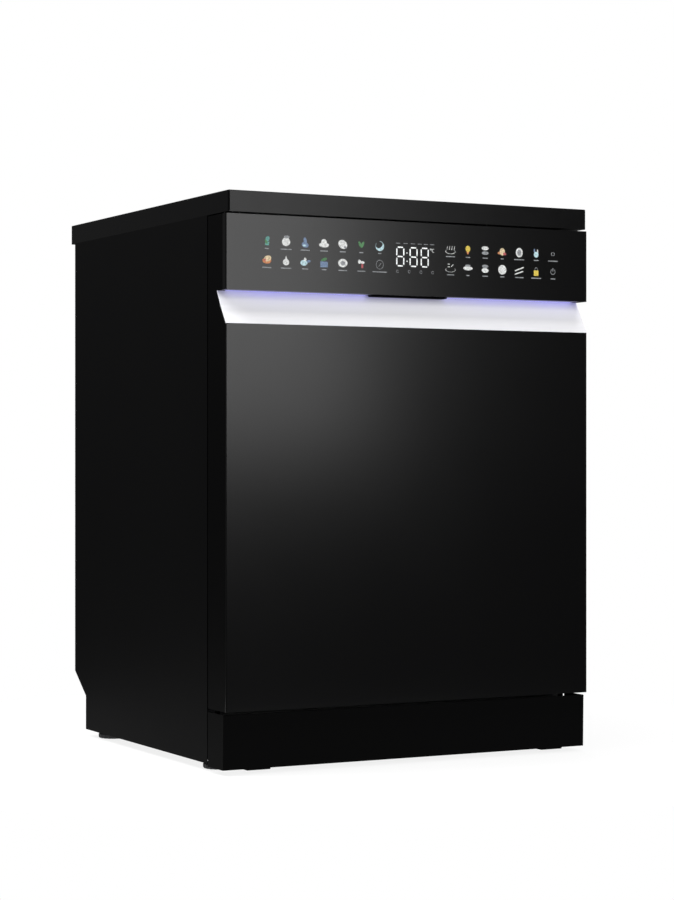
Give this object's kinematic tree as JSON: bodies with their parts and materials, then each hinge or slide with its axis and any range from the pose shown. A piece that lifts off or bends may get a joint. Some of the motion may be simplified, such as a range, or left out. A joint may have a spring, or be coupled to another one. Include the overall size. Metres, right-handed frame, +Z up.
{
  "type": "dishwasher",
  "caption": "Freestanding black dishwasher with a drop-down door, light-edged finger recess, touch fascia, worktop, plinth and pull-out racks.",
  "frame": {"origin": "on the floor below the centre of the worktop", "axes": "+Z up, +Y towards the back, +X to the right seen from the front"},
  "size_m": [0.598, 0.6, 0.815],
  "materials": {
    "black_laminate": "satin black laminate",
    "black_paint": "satin black",
    "black_glass": "gloss black, back painted",
    "black_plastic": "gloss black",
    "dark_plastic": "fine texture",
    "white_plastic": "satin white",
    "lens": "frosted, lit blue-violet",
    "steel": "brushed",
    "zinc": "galvanised",
    "grey_plastic": "moulded",
    "blue_plastic": "moulded",
    "coated_wire": "grey nylon coating",
    "rubber": "matte",
    "felt": "felt",
    "brass": "plain"
  },
  "bodies": {
    "cabinet": {"worktop": "black_laminate", "side_panel_left": "black_paint", "side_panel_right": "black_paint", "rear_panel": "zinc", "base_tray": "dark_plastic", "plinth": "black_paint", "front_crossbar": "black_paint", "hinge_brackets": "black_paint", "door_springs": "steel", "tub_wrapper": "steel", "tub_back": "steel", "tub_floor": "steel", "tub_frame": "steel", "door_gasket": "rubber", "sump": "grey_plastic", "coarse_filter": "steel", "wash_pump": "grey_plastic", "drain_pump": "grey_plastic", "inlet_valve": "white_plastic", "drain_spigot": "grey_plastic", "mains_gland": "dark_plastic", "water_softener": "white_plastic", "control_module": "dark_plastic", "feed_tube": "grey_plastic", "fixed_rails": "steel", "rear_screws": "zinc"},
    "door": {"door_glass": "black_glass", "control_fascia": "black_plastic", "display_board": "dark_plastic", "handle_recess": "white_plastic", "light_bars": "lens", "centre_grip": "black_plastic", "door_casing": "black_paint", "door_insulation": "felt", "door_liner": "steel", "dispenser": "grey_plastic", "door_lock": "dark_plastic", "lower_seal": "rubber", "hinge_arms": "black_paint"},
    "dispenser_lid": {"dispenser_lid": "white_plastic"},
    "rinse_cap": {"rinse_cap": "blue_plastic"},
    "salt_cap": {"salt_cap": "blue_plastic"},
    "micro_filter": {"micro_filter": "grey_plastic"},
    "lower_spray_arm": {"lower_spray_arm": "grey_plastic"},
    "upper_spray_arm": {"upper_spray_arm": "grey_plastic"},
    "ceiling_spray_arm": {"ceiling_spray_arm": "grey_plastic"},
    "lower_rack": {"lower_basket": "coated_wire", "lower_tines": "coated_wire"},
    "folding_tines": {"folding_tines": "coated_wire"},
    "front_wheels": {"lower_wheels_front": "grey_plastic"},
    "rear_wheels": {"lower_wheels_rear": "grey_plastic"},
    "upper_rack": {"upper_basket": "coated_wire"},
    "cup_shelf_left": {"cup_shelf_left": "coated_wire"},
    "cup_shelf_right": {"cup_shelf_right": "coated_wire"},
    "rail_sliders": {"rail_sliders": "steel"},
    "cutlery_tray": {"cutlery_tray": "coated_wire"},
    "foot_front_left": {"foot_front_left": "dark_plastic"},
    "foot_front_right": {"foot_front_right": "dark_plastic"},
    "foot_rear_left": {"foot_rear_left": "dark_plastic"},
    "foot_rear_right": {"foot_rear_right": "dark_plastic"}
  },
  "joints": [
    {"name": "door_hinge", "type": "hinge", "parent": "cabinet", "child": "door", "pos_m": [0, -0.277, 0.064], "axis": [1, 0, 0], "range_deg": [0, 90]},
    {"name": "dispenser_lid_slide", "type": "slide", "parent": "door", "child": "dispenser_lid", "axis": [1, 0, 0], "range_m": [0, 0.082]},
    {"name": "rinse_cap_twist", "type": "hinge", "parent": "door", "child": "rinse_cap", "pos_m": [-0.056, -0.2118, 0.462], "axis": [0, 1, 0], "range_deg": [0, 90]},
    {"name": "salt_cap_twist", "type": "hinge", "parent": "cabinet", "child": "salt_cap", "pos_m": [-0.15, -0.11, 0.122], "axis": [0, 0, 1], "range_deg": [0, 360]},
    {"name": "micro_filter_twist", "type": "hinge", "parent": "cabinet", "child": "micro_filter", "pos_m": [0.096, -0.07, 0.1], "axis": [0, 0, 1], "range_deg": [0, 90]},
    {"name": "lower_spray_spin", "type": "hinge", "parent": "cabinet", "child": "lower_spray_arm", "pos_m": [0, 0.006, 0.157], "axis": [0, 0, 1], "continuous": true},
    {"name": "upper_spray_spin", "type": "hinge", "parent": "upper_rack", "child": "upper_spray_arm", "pos_m": [0, 0.006, 0.382], "axis": [0, 0, 1], "continuous": true},
    {"name": "ceiling_spray_spin", "type": "hinge", "parent": "cabinet", "child": "ceiling_spray_arm", "pos_m": [0, 0.006, 0.736], "axis": [0, 0, 1], "continuous": true},
    {"name": "lower_rack_slide", "type": "slide", "parent": "cabinet", "child": "lower_rack", "axis": [0, -1, 0], "range_m": [0, 0.155]},
    {"name": "folding_tines_tilt", "type": "hinge", "parent": "lower_rack", "child": "folding_tines", "pos_m": [0, 0.1169, 0.179], "axis": [1, 0, 0], "range_deg": [-84, 0]},
    {"name": "front_wheels_roll", "type": "hinge", "parent": "lower_rack", "child": "front_wheels", "pos_m": [0, -0.0728, 0.1483], "axis": [1, 0, 0], "range_deg": [0, 500]},
    {"name": "rear_wheels_roll", "type": "hinge", "parent": "lower_rack", "child": "rear_wheels", "pos_m": [0, 0.1572, 0.1483], "axis": [1, 0, 0], "range_deg": [0, 500]},
    {"name": "upper_rack_slide", "type": "slide", "parent": "cabinet", "child": "upper_rack", "axis": [0, -1, 0], "range_m": [0, 0.457]},
    {"name": "rail_sliders_slide", "type": "slide", "parent": "cabinet", "child": "rail_sliders", "axis": [0, -1, 0], "range_m": [0, 0.229]},
    {"name": "cutlery_tray_slide", "type": "slide", "parent": "cabinet", "child": "cutlery_tray", "axis": [0, -1, 0], "range_m": [0, 0.457]},
    {"name": "cup_shelf_left_fold", "type": "hinge", "parent": "upper_rack", "child": "cup_shelf_left", "pos_m": [-0.222, 0, 0.516], "axis": [0, -1, 0], "range_deg": [0, 80]},
    {"name": "cup_shelf_right_fold", "type": "hinge", "parent": "upper_rack", "child": "cup_shelf_right", "pos_m": [0.222, 0, 0.516], "axis": [0, 1, 0], "range_deg": [0, 80]},
    {"name": "foot_front_left_screw", "type": "slide", "parent": "cabinet", "child": "foot_front_left", "axis": [0, 0, -1], "range_m": [0, 0.05]},
    {"name": "foot_front_right_screw", "type": "slide", "parent": "cabinet", "child": "foot_front_right", "axis": [0, 0, -1], "range_m": [0, 0.05]},
    {"name": "foot_rear_left_screw", "type": "slide", "parent": "cabinet", "child": "foot_rear_left", "axis": [0, 0, -1], "range_m": [0, 0.05]},
    {"name": "foot_rear_right_screw", "type": "slide", "parent": "cabinet", "child": "foot_rear_right", "axis": [0, 0, -1], "range_m": [0, 0.05]}
  ],
  "couplings": [
    {"joint": "lower_rack_slide", "follows": "door_hinge", "m_per_rad": 0.098},
    {"joint": "front_wheels_roll", "follows": "door_hinge", "ratio": 5.4444},
    {"joint": "rear_wheels_roll", "follows": "door_hinge", "ratio": 5.4444},
    {"joint": "upper_rack_slide", "follows": "door_hinge", "m_per_rad": 0.29},
    {"joint": "rail_sliders_slide", "follows": "door_hinge", "m_per_rad": 0.145},
    {"joint": "cutlery_tray_slide", "follows": "door_hinge", "m_per_rad": 0.29}
  ]
}
